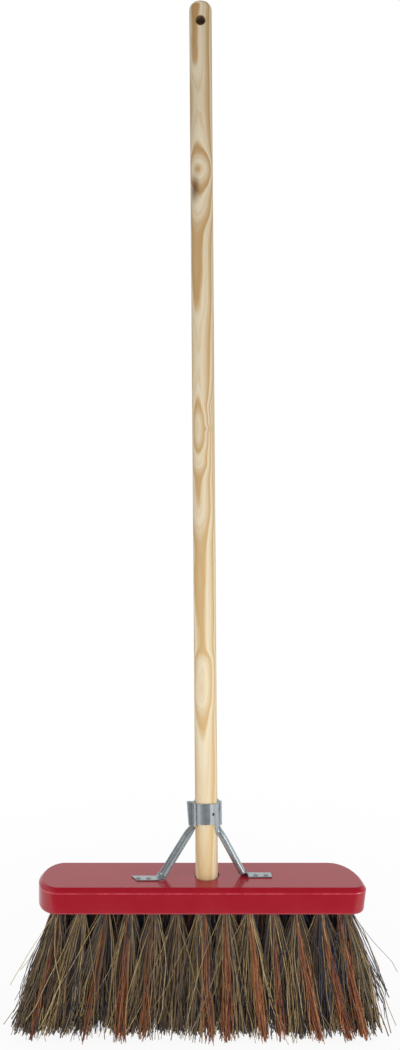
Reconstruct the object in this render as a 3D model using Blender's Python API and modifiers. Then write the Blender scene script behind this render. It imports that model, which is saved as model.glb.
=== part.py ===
"""Yard broom: a tufted wooden stock, a pine handle and a two-part pressed steel stay.

Metres, +Z up. The bristle tips stand on Z = 0, the stock lies along X, and -Y is its front.
"""

import math
import random

import bmesh
import bpy
from mathutils import Matrix, Vector

# Clearance between neighbouring pieces, and how far a cutter runs past what it cuts
fit_gap = 0.0003
overrun = 0.002

# Stock: a wooden block with a half-round left end and a worn right end
stock_length = 0.4047
stock_depth = 0.076
stock_thickness = 0.031
left_end_length = 0.0275
worn_corner_length = 0.040
tight_corner_length = 0.017
tight_corner_depth = 0.014
worn_end_draft = 0.004
top_chamfer = 0.0053
chamfer_bulge_share = 1.3
bottom_round = 0.0025

# Handle: a turned pole in a blind socket, a little off the middle and off plumb
handle_diameter = 0.028
handle_rise = 1.090
handle_top_round = 0.010
handle_end_chamfer = 0.001
handle_lean = math.radians(0.42)
socket_offset = 0.0068
socket_floor = 0.003
socket_mouth_flare = 0.0018
hang_hole_diameter = 0.0115
hang_hole_drop = 0.028

# Tufts: drilled holes in staggered rows, from the front row to the back one
bristle_length = 0.140
tuft_hole_diameter = 0.0095
tuft_hole_depth = 0.010
row_counts = (13, 12, 13, 12)
row_end_margin = 0.02735
row_side_margin = 0.014
tip_end_reach = 0.03265
tip_side_reach = 0.021
tuft_flare_share = 4.3
drill_share = 0.75

# Strands: three-sided, eight to a tuft, of uneven length
ring_strands = 7
full_length_strands = 4
strand_root_radius = 0.0010
strand_middle_radius = 0.0017
strand_tip_radius = 0.0013
strand_root_depth = 0.002
strand_stray = 0.0015
least_shortfall = 0.0016
most_shortfall = 0.008

# Stay: two like halves of sheet steel that hook into each other round the handle
stay_sheet = 0.0012
band_height = 0.0256
band_foot_height = 0.0686
band_arch = 0.0025
bend_radius = 0.0012
lip_bend_radius = 0.0008
lip_wrap = math.radians(38)
ear_drop = 0.0033
leg_root_angle = math.radians(43)
leg_crown = 0.003
channel_bulge_share = 3
foot_width = 0.0112
leg_hug_length = 0.0228
hug_shares = ((0.15, 0.35), (0.3, 0.6), (0.45, 0.8), (0.65, 0.95), (0.85, 1), (1, 1))
knee_height = 0.005
knee_run = 0.008

# The right leg belongs to the front band. Reaches and insets count from the band's middle line
right_ear_low_reach = 0.0046
right_ear_high_reach = 0.0046
right_root_inset = 0.005
right_leg_width = 0.0082
right_knee_reach = 0.0318
right_foot_y = -0.0025
right_foot_length = 0.0344
right_toe_slant = 0.001

# The left leg belongs to the back band
left_ear_low_reach = 0.0074
left_ear_high_reach = 0.0095
left_root_inset = 0.0034
left_leg_width = 0.0096
left_knee_reach = 0.0428
left_foot_y = 0.011
left_foot_length = 0.0361
left_toe_slant = 0.008

# Nails: round heads on the feet, flush heads in the band
foot_nail_head = 0.006
foot_nail_crown = 0.0014
foot_nail_rim = 0.0005
foot_nail_shank = 0.0022
foot_nail_length = 0.014
foot_nail_point = 0.003
first_nail_reach = 0.0145
nail_pitch = 0.0125
band_nail_head = 0.0034
band_nail_sink = 0.0002
band_nail_shank = 0.0018
band_nail_length = 0.011
band_nail_point = 0.002
band_nail_angle = math.radians(35)

# Facets round each form and steps along each bend
handle_sides = 32
hang_hole_sides = 20
tuft_sides = 8
nail_sides = 12
corner_steps = 8
bottom_round_steps = 2
chamfer_steps = 4
handle_top_steps = 5
band_steps = 9
ear_root_steps = 4
bend_steps = 3
fold_steps = 4
lip_bend_steps = 2
lip_steps = 3
knee_steps = 4
nail_crown_steps = 3

# Values worked out from the ones above
stock_bottom = bristle_length
stock_top = bristle_length + stock_thickness
worn_corner_depth = stock_depth - tight_corner_depth
handle_radius = handle_diameter / 2
socket_radius = handle_radius + fit_gap
socket_depth = stock_thickness - tuft_hole_depth - socket_floor
front_row_length = stock_length - 2 * row_end_margin
row_pitch = (stock_depth - 2 * row_side_margin) / (len(row_counts) - 1)
tip_half_length = stock_length / 2 + tip_end_reach
tip_half_depth = stock_depth / 2 + tip_side_reach
band_radius = handle_radius + fit_gap + stay_sheet / 2
sheet_step = stay_sheet + fit_gap
foot_level = fit_gap + stay_sheet / 2
right_knee = band_radius + right_knee_reach
left_knee = band_radius + left_knee_reach
weld_distance = fit_gap / 30


def clear_scene():
    """Remove what the scene holds, so that the script can be run again."""
    for item in list(bpy.data.objects):
        bpy.data.objects.remove(item)
    for group in list(bpy.data.collections):
        bpy.data.collections.remove(group)


def add_collection(name):
    """Add a collection to the scene."""
    group = bpy.data.collections.new(name)
    bpy.context.scene.collection.children.link(group)
    return group


def add_material(name, colour, roughness, metallic=0.0):
    """Make a Principled material from a linear colour."""
    material = bpy.data.materials.new(name)
    material.use_nodes = True
    shader = material.node_tree.nodes["Principled BSDF"]
    shader.inputs["Base Color"].default_value = (*colour, 1)
    shader.inputs["Roughness"].default_value = roughness
    shader.inputs["Metallic"].default_value = metallic
    material.diffuse_color = (*colour, 1)
    return material


def add_object(name, build_mesh, group):
    """Turn a bmesh into an object of a collection."""
    mesh = bpy.data.meshes.new(name)
    build_mesh.to_mesh(mesh)
    build_mesh.free()
    item = bpy.data.objects.new(name, mesh)
    group.objects.link(item)
    return item


def add_cutter(name, build_mesh):
    """Make a cutter, which shows as wire and isn't rendered."""
    cutter = add_object(name, build_mesh, cutter_group)
    cutter.hide_render = True
    cutter.display_type = "WIRE"
    return cutter


def add_boolean(item, other, operation):
    """Cut an object with a cutter, or join another one to it."""
    boolean = item.modifiers.new(operation.lower(), "BOOLEAN")
    boolean.operation = operation
    boolean.solver = "EXACT"
    boolean.object = other


def shade(item, material, angle=math.radians(30)):
    """Give an object its material and smooth shading with sharp edges."""
    item.data.materials.append(material)
    item.data.shade_smooth()
    item.data.set_sharp_from_angle(angle=angle)


def frozen_copy(item, group):
    """Replace an object by its evaluated mesh, in world space."""
    depsgraph = bpy.context.evaluated_depsgraph_get()
    mesh = bpy.data.meshes.new_from_object(item.evaluated_get(depsgraph))
    mesh.transform(item.matrix_world)
    name = item.name
    bpy.data.objects.remove(item)
    mesh.name = name
    copy = bpy.data.objects.new(name, mesh)
    group.objects.link(copy)
    return copy


def add_rod(build_mesh, start, end, radius, sides, end_radius=None):
    """Add a capped cylinder or cone between two points to a bmesh."""
    start, end = Vector(start), Vector(end)
    turn = (end - start).to_track_quat("Z", "X").to_matrix().to_4x4()
    bmesh.ops.create_cone(
        build_mesh,
        cap_ends=True,
        segments=sides,
        radius1=radius,
        radius2=radius if end_radius is None else end_radius,
        depth=(end - start).length,
        matrix=Matrix.Translation((start + end) / 2) @ turn,
    )


def add_turned(name, profile, sides, group):
    """Spin a profile, listed down its outer side from the top, round the Z axis."""
    build_mesh = bmesh.new()
    corners = [build_mesh.verts.new((radius, 0, height)) for radius, height in profile]
    for upper, lower in zip(corners, corners[1:]):
        build_mesh.edges.new((upper, lower))
    item = add_object(name, build_mesh, group)
    screw = item.modifiers.new("turning", "SCREW")
    screw.steps = sides
    screw.render_steps = sides
    screw.use_merge_vertices = True
    screw.merge_threshold = weld_distance
    return item


def arc(centre, radii, start, end, steps):
    """Points along an elliptical arc in a plane, both ends included."""
    points = []
    for step in range(steps + 1):
        angle = start + (end - start) * step / steps
        points.append((centre[0] + radii[0] * math.cos(angle), centre[1] + radii[1] * math.sin(angle)))
    return points


def axis_x(height):
    """X of the handle's axis at a height above the stock."""
    return socket_offset - height * math.tan(handle_lean)


def stock_outline(inset, draft):
    """The stock seen from above, counter-clockwise, drawn in all round and by a draft at its right end."""
    right, left = stock_length / 2 - draft, -stock_length / 2
    half_depth = stock_depth / 2
    worn_y = tight_corner_depth - half_depth
    corners = (
        ((right - tight_corner_length, worn_y), (tight_corner_length, tight_corner_depth), -90),
        ((right - worn_corner_length, worn_y), (worn_corner_length, worn_corner_depth), 0),
        ((left + left_end_length, 0), (left_end_length, half_depth), 90),
        ((left + left_end_length, 0), (left_end_length, half_depth), 180),
    )
    outline = []
    for centre, radii, start in corners:
        radii = [radius - inset for radius in radii]
        points = arc(centre, radii, math.radians(start), math.radians(start + 90), corner_steps)
        joined = outline and (Vector(points[0]) - Vector(outline[-1])).length < weld_distance
        outline += points[1:] if joined else points
    return outline


def stock_levels():
    """Height and inset of the outline, from the rounded bottom edge to the chamfered top edge."""
    levels = []
    for step in range(bottom_round_steps + 1):
        angle = math.radians(90) * step / bottom_round_steps
        levels.append((bottom_round * (1 - math.cos(angle)), bottom_round * (1 - math.sin(angle))))
    power = 2 / chamfer_bulge_share
    for step in range(chamfer_steps + 1):
        angle = math.radians(90) * step / chamfer_steps
        rise = abs(math.sin(angle)) ** power
        inset = 1 - abs(math.cos(angle)) ** power
        levels.append((stock_thickness - top_chamfer * (1 - rise), top_chamfer * inset))
    return levels


def tuft_places():
    """Name, root, tip and first strand's turn of every tuft, in rows a to d from front to back.

    The first strand leans straight out, so that the tips reach evenly to each side.
    """
    places = []
    pitch = front_row_length / (max(row_counts) - 1)
    root_half_depth = row_pitch * (len(row_counts) - 1) / 2
    tip_edge = tuft_flare_share * ring_radius() + strand_tip_radius
    spread_x = (tip_half_length - tip_edge) / (front_row_length / 2)
    spread_y = (tip_half_depth - tip_edge) / root_half_depth
    row_turns = {0: math.radians(-90), len(row_counts) - 1: math.radians(90)}
    for row, count in enumerate(row_counts):
        y = row * row_pitch - root_half_depth
        for place in range(count):
            x = (place - (count - 1) / 2) * pitch
            name = f"tuft_{'abcdefgh'[row]}{place + 1:02d}"
            root = Vector((x, y, stock_bottom))
            tip = Vector((x * spread_x, y * spread_y, 0))
            places.append((name, root, tip, row_turns.get(row, math.pi if x < 0 else 0)))
    return places


def drill_direction(root, tip):
    """The slanted direction, up into the stock, in which a tuft's hole is drilled."""
    lean = (tip - root) * drill_share
    return Vector((-lean.x, -lean.y, bristle_length)).normalized()


def ring_radius():
    """Distance of the outer strands from the middle of a tuft's root."""
    flat_radius = (tuft_hole_diameter / 2 - fit_gap) * math.cos(math.pi / tuft_sides)
    return flat_radius - strand_root_radius - fit_gap


def nail_points():
    """Foot nails: name and X from the handle's axis, to the right and to the left."""
    points = {}
    for side_name, side, knee in (("right", 1, right_knee), ("left", -1, left_knee)):
        for place, place_name in enumerate(("inner", "outer")):
            reach = knee + first_nail_reach + place * nail_pitch
            points[f"foot_nail_{side_name}_{place_name}"] = (side, reach)
    return points


def nail_y(side):
    """Y of the foot nails of one side, on the middle line of the foot."""
    return right_foot_y if side > 0 else -left_foot_y


def make_stock():
    """The painted block with its socket, tuft holes and nail holes."""
    build_mesh = bmesh.new()
    rings = []
    for height, inset in stock_levels():
        draft = worn_end_draft * (1 - height / stock_thickness)
        outline = stock_outline(inset, draft)
        rings.append([build_mesh.verts.new((x, y, stock_bottom + height)) for x, y in outline])
    build_mesh.faces.new(reversed(rings[0]))
    build_mesh.faces.new(rings[-1])
    for low, high in zip(rings, rings[1:]):
        join_rows(build_mesh, low + low[:1], high + high[:1])
    stock = add_object("stock", build_mesh, broom_group)

    holes = bmesh.new()
    add_rod(holes, (axis_x(-socket_depth), 0, stock_top - socket_depth),
            (axis_x(overrun), 0, stock_top + overrun), socket_radius, handle_sides)
    add_boolean(stock, add_cutter("socket_cutter", holes), "DIFFERENCE")

    mouth = bmesh.new()
    add_rod(mouth, (axis_x(0), 0, stock_top - socket_mouth_flare), (axis_x(0), 0, stock_top + overrun),
            socket_radius, handle_sides, socket_radius + socket_mouth_flare + overrun)
    add_boolean(stock, add_cutter("socket_mouth_cutter", mouth), "DIFFERENCE")

    drills = bmesh.new()
    for name, root, tip, turn in tuft_places():
        direction = drill_direction(root, tip)
        add_rod(drills, root - direction * tuft_hole_diameter, root + direction * tuft_hole_depth,
                tuft_hole_diameter / 2, tuft_sides)
    for side, reach in nail_points().values():
        x = socket_offset + side * reach
        add_rod(drills, (x, nail_y(side), stock_top - foot_nail_length - fit_gap),
                (x, nail_y(side), stock_top + overrun), foot_nail_shank / 2 + fit_gap, nail_sides)
    add_boolean(stock, add_cutter("drill_cutters", drills), "DIFFERENCE")
    shade(stock, painted_wood)


def band_nail_line(side):
    """A band nail's outer point and inward direction, on the middle of the band."""
    height = band_foot_height + band_height / 2 - band_arch * math.sin(band_nail_angle) ** 2
    outward = Vector((side * math.sin(band_nail_angle), -side * math.cos(band_nail_angle), 0))
    axis = Vector((axis_x(height), 0, stock_top + height))
    return axis + outward * (band_radius + stay_sheet / 2 - band_nail_sink), -outward


def make_handle():
    """The turned pole, its hanging hole and the pilot holes of the band nails."""
    bottom = fit_gap - socket_depth
    crown = arc((handle_radius - handle_top_round, handle_rise - handle_top_round),
                (handle_top_round, handle_top_round), math.radians(90), 0, handle_top_steps)
    profile = [(0, handle_rise), *crown, (handle_radius, bottom + handle_end_chamfer),
               (handle_radius - handle_end_chamfer, bottom), (0, bottom)]
    handle = add_turned("handle", profile, handle_sides, broom_group)
    handle.location = (socket_offset, 0, stock_top)
    handle.rotation_euler = (0, -handle_lean, 0)

    holes = bmesh.new()
    height = handle_rise - hang_hole_drop
    hole_x = axis_x(height)
    reach = handle_radius + overrun
    add_rod(holes, (hole_x, -reach, stock_top + height), (hole_x, reach, stock_top + height),
            hang_hole_diameter / 2, hang_hole_sides)
    for side in (1, -1):
        start, inward = band_nail_line(side)
        add_rod(holes, start, start + inward * (stay_sheet + band_nail_length + fit_gap),
                band_nail_shank / 2 + fit_gap, nail_sides)
    add_boolean(handle, add_cutter("handle_hole_cutters", holes), "DIFFERENCE")
    shade(handle, pine)


def rounded_corner(before, corner, after, radius, steps):
    """Points of a bend of the given middle radius in place of a corner."""
    corner = Vector(corner)
    backward = (Vector(before) - corner).normalized()
    forward = (Vector(after) - corner).normalized()
    half_angle = backward.angle(forward) / 2
    run = radius / math.tan(half_angle)
    centre = corner + (backward + forward).normalized() * radius / math.sin(half_angle)
    first = corner + backward * run - centre
    last = corner + forward * run - centre
    points = []
    for step in range(steps + 1):
        arm = first.slerp(last, step / steps).normalized() * radius
        points.append(tuple(centre + arm))
    return points


def band_plan(ear_reach, flange_reach):
    """Middle line of one half's sheet seen from above, and the stretch that runs on into the leg.

    It starts at the flange that the other half hooks round, follows the band over the front
    of the handle, runs out into the ear, folds back and ends as a lip over the other band.
    """
    offset = sheet_step / 2
    corner_x = math.sqrt(band_radius ** 2 - offset ** 2)
    corner_turn = math.asin(offset / band_radius) + bend_radius / band_radius
    fold_x = ear_reach - stay_sheet / 2 - sheet_step
    lip_radius = band_radius + sheet_step
    lip_y = sheet_step * 3 / 2
    lip_corner_x = math.sqrt(lip_radius ** 2 - lip_y ** 2)
    lip_start = math.asin(lip_y / lip_radius) + lip_bend_radius / lip_radius
    along = band_radius

    start = (-flange_reach, -offset)
    left_bend = rounded_corner(start, (-corner_x, -offset), (-corner_x, -offset - along),
                               bend_radius, bend_steps)
    front = arc((0, 0), (band_radius, band_radius), math.pi + corner_turn,
                math.tau - leg_root_angle, band_steps)
    side = arc((0, 0), (band_radius, band_radius), math.tau - leg_root_angle,
               math.tau - corner_turn, ear_root_steps)
    right_bend = rounded_corner((corner_x, -offset - along), (corner_x, -offset), (corner_x + along, -offset),
                                bend_radius, bend_steps)
    fold = arc((fold_x, offset), (sheet_step, sheet_step), -math.pi / 2, math.pi / 2, fold_steps)
    lip_bend = rounded_corner((lip_corner_x + along, lip_y), (lip_corner_x, lip_y),
                              (lip_corner_x, lip_y + along), lip_bend_radius, lip_bend_steps)
    lip = arc((0, 0), (lip_radius, lip_radius), lip_start, lip_wrap, lip_steps)

    points = [start, *left_bend, *front[1:]]
    first = len(points) - 1
    points += [*side[1:-1], *right_bend, fold[0]]
    last = len(points) - 1
    points += [*fold[1:], *lip_bend, *lip[1:]]
    return points, first, last


def channel_section(centre, down, across, width, crown_share, columns):
    """Points across the leg, bowed to the front by a share of the full crown."""
    forward = down.cross(across)
    points = []
    for column in range(columns):
        place = 2 * column / (columns - 1) - 1
        bow = leg_crown * crown_share * (1 - abs(place) ** channel_bulge_share)
        points.append(centre + across * place * width / 2 + forward * bow)
    return points


def leg_sections(root_points, leg_width, leg_root, knee, foot_y, toe, toe_slant):
    """Sections of one leg, from under the band to the toe, in the handle's own frame."""
    columns = len(root_points)
    root_centre = sum(root_points, Vector()) / columns
    down = Vector((knee - leg_root, foot_y - root_centre.y, -band_foot_height)).normalized()
    across = Vector((0, -1, 0)).cross(down).normalized()

    def leg_point(height):
        share = 1 - height / band_foot_height
        return Vector((leg_root + (knee - leg_root) * share,
                       root_centre.y + (foot_y - root_centre.y) * share, height))

    sections = []
    hug_end = band_foot_height - leg_hug_length
    for share, blend in hug_shares:
        centre = leg_point(root_centre.z + (hug_end - root_centre.z) * share)
        sink = Vector((0, 0, centre.z - root_centre.z))
        channel = channel_section(centre, down, across, leg_width, 1, columns)
        section = []
        for root_point, channel_point in zip(root_points, channel):
            point = (root_point + sink).lerp(channel_point, blend)
            if math.hypot(point.x, point.y) < band_radius:
                point.y = -math.sqrt(band_radius ** 2 - point.x ** 2)
            section.append(point)
        sections.append(section)

    knee_start = leg_point(knee_height)
    sections.append(channel_section(knee_start, down, across, leg_width, 1, columns))

    leg_turn = Matrix((down, across, down.cross(across))).transposed().to_quaternion()
    foot_turn = Matrix(((1, 0, 0), (0, -1, 0), (0, 0, -1))).transposed().to_quaternion()
    for step in range(1, knee_steps + 1):
        share = step / knee_steps
        turn = leg_turn.slerp(foot_turn, share)
        centre = Vector((knee_start.x + knee_run * share, foot_y, foot_level))
        width = leg_width + (foot_width - leg_width) * share
        section = channel_section(centre, turn @ Vector((1, 0, 0)), turn @ Vector((0, 1, 0)),
                                  width, (1 - share) ** 2, columns)
        lift = foot_level - min(point.z for point in section)
        sections.append([point + Vector((0, 0, lift)) for point in section])

    end = []
    for column, point in enumerate(sections[-1]):
        slant = toe_slant * (1 - column / (columns - 1))
        end.append(Vector((toe - slant, point.y, point.z)))
    sections.append(end)
    return sections


def join_rows(build_mesh, lower, upper):
    """Faces between two rows of vertices."""
    for place in range(len(lower) - 1):
        build_mesh.faces.new((lower[place], lower[place + 1], upper[place + 1], upper[place]))


def make_stay_half(name, side, ears, flange_reach, leg):
    """One pressing of the stay. Side 1 has its band in front and its leg on the right."""
    ear_low, ear_high = ears

    def place(point):
        return (side * point[0] + axis_x(point[2]), side * point[1], stock_top + point[2])

    def arch_drop(x):
        return band_arch * min((x / band_radius) ** 2, 1)

    build_mesh = bmesh.new()
    plan, first, last = band_plan(ear_low, flange_reach)
    foot_line = []
    for column, (x, y) in enumerate(plan):
        drop_share = min(max((column - first) / (last - first), 0), 1)
        foot_line.append(Vector((x, y, band_foot_height - arch_drop(x) - ear_drop * drop_share)))
    low = [build_mesh.verts.new(place(point)) for point in foot_line]
    plan = band_plan(ear_high, flange_reach)[0]
    band_top = band_foot_height + band_height
    high = [build_mesh.verts.new(place((x, y, band_top - arch_drop(x)))) for x, y in plan]
    join_rows(build_mesh, low, high)

    above = low[first:last + 1]
    for section in leg_sections(foot_line[first:last + 1], *leg):
        below = [build_mesh.verts.new(place(point)) for point in section]
        join_rows(build_mesh, below, above)
        above = below
    half = add_object(name, build_mesh, broom_group)

    wall = half.modifiers.new("sheet", "SOLIDIFY")
    wall.thickness = stay_sheet
    wall.offset = 0
    wall.use_even_offset = True

    holes = bmesh.new()
    start, inward = band_nail_line(side)
    add_rod(holes, start - inward * overrun, start + inward * (stay_sheet + fit_gap),
            band_nail_head / 2 + fit_gap, nail_sides)
    for nail_side, reach in nail_points().values():
        if nail_side == side:
            x = socket_offset + side * reach
            add_rod(holes, (x, nail_y(side), stock_top + fit_gap / 2),
                    (x, nail_y(side), stock_top + foot_level + overrun), foot_nail_shank / 2 + fit_gap,
                    nail_sides)
    add_boolean(half, add_cutter(f"{name}_hole_cutters", holes), "DIFFERENCE")
    shade(half, zinc_steel)


def make_stay():
    """Both halves. Each one's flange ends inside the fold of the other one's ear."""
    right_ears = (band_radius + right_ear_low_reach, band_radius + right_ear_high_reach)
    left_ears = (band_radius + left_ear_low_reach, band_radius + left_ear_high_reach)
    right_flange = min(left_ears) - stay_sheet / 2 - sheet_step
    left_flange = min(right_ears) - stay_sheet / 2 - sheet_step
    right_leg = (right_leg_width, band_radius - right_root_inset, right_knee, right_foot_y,
                 right_knee + right_foot_length, right_toe_slant)
    left_leg = (left_leg_width, band_radius - left_root_inset, left_knee, left_foot_y,
                left_knee + left_foot_length, left_toe_slant)
    make_stay_half("stay_front_half", 1, right_ears, right_flange, right_leg)
    make_stay_half("stay_back_half", -1, left_ears, left_flange, left_leg)


def make_foot_nails():
    """Round-headed nails through the feet into the stock."""
    head = foot_nail_head / 2
    shank = foot_nail_shank / 2
    seat = foot_level + stay_sheet / 2 + fit_gap
    crown = arc((0, seat + foot_nail_rim), (head, foot_nail_crown - foot_nail_rim), math.radians(90), 0,
                nail_crown_steps)
    profile = [*crown, (head, seat), (shank, seat), (shank, foot_nail_point - foot_nail_length),
               (0, -foot_nail_length)]
    profile[0] = (0, seat + foot_nail_crown)
    for name, (side, reach) in nail_points().items():
        nail = add_turned(name, profile, nail_sides, broom_group)
        nail.location = (socket_offset + side * reach, nail_y(side), stock_top)
        shade(nail, nail_steel)


def make_band_nails():
    """Nails with flush heads through the band into the handle."""
    head = band_nail_head / 2
    shank = band_nail_shank / 2
    head_depth = stay_sheet - band_nail_sink
    profile = [(0, 0), (head, 0), (head, -head_depth), (shank, -head_depth),
               (shank, band_nail_point - band_nail_length - head_depth),
               (0, -band_nail_length - head_depth)]
    for name, side in (("band_nail_front", 1), ("band_nail_back", -1)):
        start, inward = band_nail_line(side)
        nail = add_turned(name, profile, nail_sides, broom_group)
        nail.rotation_euler = (-inward).to_track_quat("Z", "Y").to_euler()
        nail.location = start
        shade(nail, nail_steel)


def add_strand(build_mesh, stations, spin):
    """One three-sided strand through a list of centres and radii."""
    rings = []
    for centre, radius in stations:
        ring = []
        for corner in range(3):
            angle = spin + corner * math.tau / 3
            ring.append(build_mesh.verts.new(centre + radius * Vector((math.cos(angle), math.sin(angle), 0))))
        rings.append(ring)
    build_mesh.faces.new(rings[0])
    build_mesh.faces.new(reversed(rings[-1]))
    for upper, lower in zip(rings, rings[1:]):
        for corner in range(3):
            after = (corner + 1) % 3
            build_mesh.faces.new((lower[corner], lower[after], upper[after], upper[corner]))


def strand_path(root, tip, offset, stray, end_height):
    """Centres and radii of one strand, from inside the root of its tuft to its tip.

    The tuft opens evenly about its own middle line, so that its strands never cross.
    """
    stations = []
    for height, radius in (
        (bristle_length + strand_root_depth, strand_root_radius),
        (bristle_length / 2, strand_middle_radius),
        (end_height, strand_tip_radius),
    ):
        drop = 1 - height / bristle_length
        curve = drill_share * drop + (1 - drill_share) * drop * abs(drop)
        middle = root.lerp(tip, curve)
        spread = 1 + (tuft_flare_share - 1) * max(curve, 0)
        centre = Vector((middle.x, middle.y, 0)) + offset * spread + stray * max(drop, 0)
        centre.z = height
        stations.append((centre, radius))
    return stations


def make_tuft(name, root, tip, first_turn, material, dice):
    """A tuft: its packed root in the drilled hole, with strands that open towards the tips."""
    direction = drill_direction(root, tip)
    plug_mesh = bmesh.new()
    add_rod(plug_mesh, root, root + direction * (tuft_hole_depth - fit_gap),
            tuft_hole_diameter / 2 - fit_gap, tuft_sides)
    tuft = add_object(name, plug_mesh, broom_group)

    strand_mesh = bmesh.new()
    full_length = [0, *dice.sample(range(1, ring_strands + 1), full_length_strands - 1)]
    for strand in range(ring_strands + 1):
        turn = first_turn + strand * math.tau / ring_strands
        outward = Vector((math.cos(turn), math.sin(turn), 0))
        offset = outward * (ring_radius() if strand < ring_strands else 0)
        stray_turn = turn + dice.uniform(math.radians(90), math.radians(270))
        stray_reach = strand_stray * dice.random() if strand > 0 else 0
        stray = stray_reach * Vector((math.cos(stray_turn), math.sin(stray_turn), 0))
        end_height = 0 if strand in full_length else dice.uniform(least_shortfall, most_shortfall)
        spin = dice.uniform(0, math.tau) if strand > 0 else turn
        add_strand(strand_mesh, strand_path(root, tip, offset, stray, end_height), spin)
    bmesh.ops.recalc_face_normals(strand_mesh, faces=strand_mesh.faces)
    strands = add_object(f"{name}_strands", strand_mesh, broom_group)

    add_boolean(tuft, strands, "UNION")
    tuft = frozen_copy(tuft, broom_group)
    bpy.data.objects.remove(strands)
    shade(tuft, material)


def make_tufts():
    """All the tufts, in fibre of mixed tones."""
    dice = random.Random(7)
    for name, root, tip, turn in tuft_places():
        make_tuft(name, root, tip, turn, dice.choice(fibre_tones), dice)


clear_scene()
broom_group = add_collection("yard_broom")
cutter_group = add_collection("cutters")
painted_wood = add_material("red_painted_wood", (0.33, 0.012, 0.025), 0.3)
pine = add_material("planed_pine", (0.72, 0.54, 0.33), 0.5)
zinc_steel = add_material("zinc_plated_steel", (0.45, 0.48, 0.5), 0.35, 1.0)
nail_steel = add_material("bright_nail_steel", (0.3, 0.31, 0.32), 0.4, 1.0)
fibre_tones = (
    add_material("fibre_tan", (0.30, 0.22, 0.12), 0.7),
    add_material("fibre_olive", (0.14, 0.11, 0.06), 0.7),
    add_material("fibre_dark", (0.035, 0.03, 0.03), 0.7),
    add_material("fibre_rust", (0.25, 0.09, 0.03), 0.7),
)
make_stock()
make_handle()
make_stay()
make_foot_nails()
make_band_nails()
make_tufts()
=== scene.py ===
"""Yard broom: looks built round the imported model. Metres, +Z up, -Y to the front."""

import math
import random

import bmesh
import bpy
from mathutils import Matrix, Vector


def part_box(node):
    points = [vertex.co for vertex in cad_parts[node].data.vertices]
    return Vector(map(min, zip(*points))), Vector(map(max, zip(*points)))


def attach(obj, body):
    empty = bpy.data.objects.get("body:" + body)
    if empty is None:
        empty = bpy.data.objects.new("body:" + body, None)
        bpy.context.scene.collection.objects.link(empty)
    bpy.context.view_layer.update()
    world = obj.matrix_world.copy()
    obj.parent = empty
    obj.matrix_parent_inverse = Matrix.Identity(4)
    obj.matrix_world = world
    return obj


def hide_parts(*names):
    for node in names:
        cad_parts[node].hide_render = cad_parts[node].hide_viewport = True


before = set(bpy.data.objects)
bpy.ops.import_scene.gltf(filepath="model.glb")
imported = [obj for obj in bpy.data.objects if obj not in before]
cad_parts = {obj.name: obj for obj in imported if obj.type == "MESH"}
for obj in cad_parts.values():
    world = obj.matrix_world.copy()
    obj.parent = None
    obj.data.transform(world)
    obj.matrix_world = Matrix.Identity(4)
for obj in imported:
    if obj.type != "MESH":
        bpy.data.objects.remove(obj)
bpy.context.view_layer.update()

# Camera: it stands upright in front of the broom, level with the middle of the handle,
# and its picture is shifted down a little so that the tips of the bristles are in it.
lens_pixels, photo_height_pixels = 920, 1050
picture_drop_share = 0.081
camera_aside, camera_distance, camera_height = -0.0016, 1.150, 0.7145
camera_data = bpy.data.cameras.new("camera")
camera_data.sensor_width = 36
camera_data.lens = camera_data.sensor_width * lens_pixels / photo_height_pixels
camera_data.shift_y = -picture_drop_share
camera = bpy.data.objects.new("camera", camera_data)
camera.location = (camera_aside, -camera_distance, camera_height)
camera.rotation_euler = (math.radians(90), 0, 0)
bpy.context.scene.collection.objects.link(camera)
bpy.context.scene.camera = camera

# Head: one block of beech, moulded round its top edge, primed and dipped in red enamel.
# The coat is glossy and a little wavy over the grain, with a painted highlight: a lighter line along the foot
# of the moulding.
blotch_width, highlight_patch_width = 0.0222, 0.00833
grain_length, grain_width, wave_height = 0.0556, 0.00385, 0.0002
moulding_depth, highlight_core, highlight_edge = 0.0053, 0.0003, 0.0009


def hex_colour(code):
    """Linear colour from an sRGB hex value."""
    channels = [int(code[place:place + 2], 16) / 255 for place in (1, 3, 5)]
    return (*[c / 12.92 if c <= 0.04045 else ((c + 0.055) / 1.055) ** 2.4 for c in channels], 1)


def add_node(tree, kind, inputs=(), **settings):
    """Add a node. Each socket takes a value, another node's output, or a node for its first live output."""
    node = tree.nodes.new(kind)
    for name, value in settings.items():
        setattr(node, name, value)
    for socket, value in dict(inputs).items():
        if isinstance(value, bpy.types.Node):
            value = next(output for output in value.outputs if output.enabled)
        if isinstance(value, bpy.types.NodeSocket):
            tree.links.new(value, node.inputs[socket])
        else:
            node.inputs[socket].default_value = value
    return node


def new_material(name):
    """An empty material, with its tree and its Principled shader."""
    material = bpy.data.materials.new(name)
    material.use_nodes = True
    return material, material.node_tree, material.node_tree.nodes["Principled BSDF"]


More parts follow.
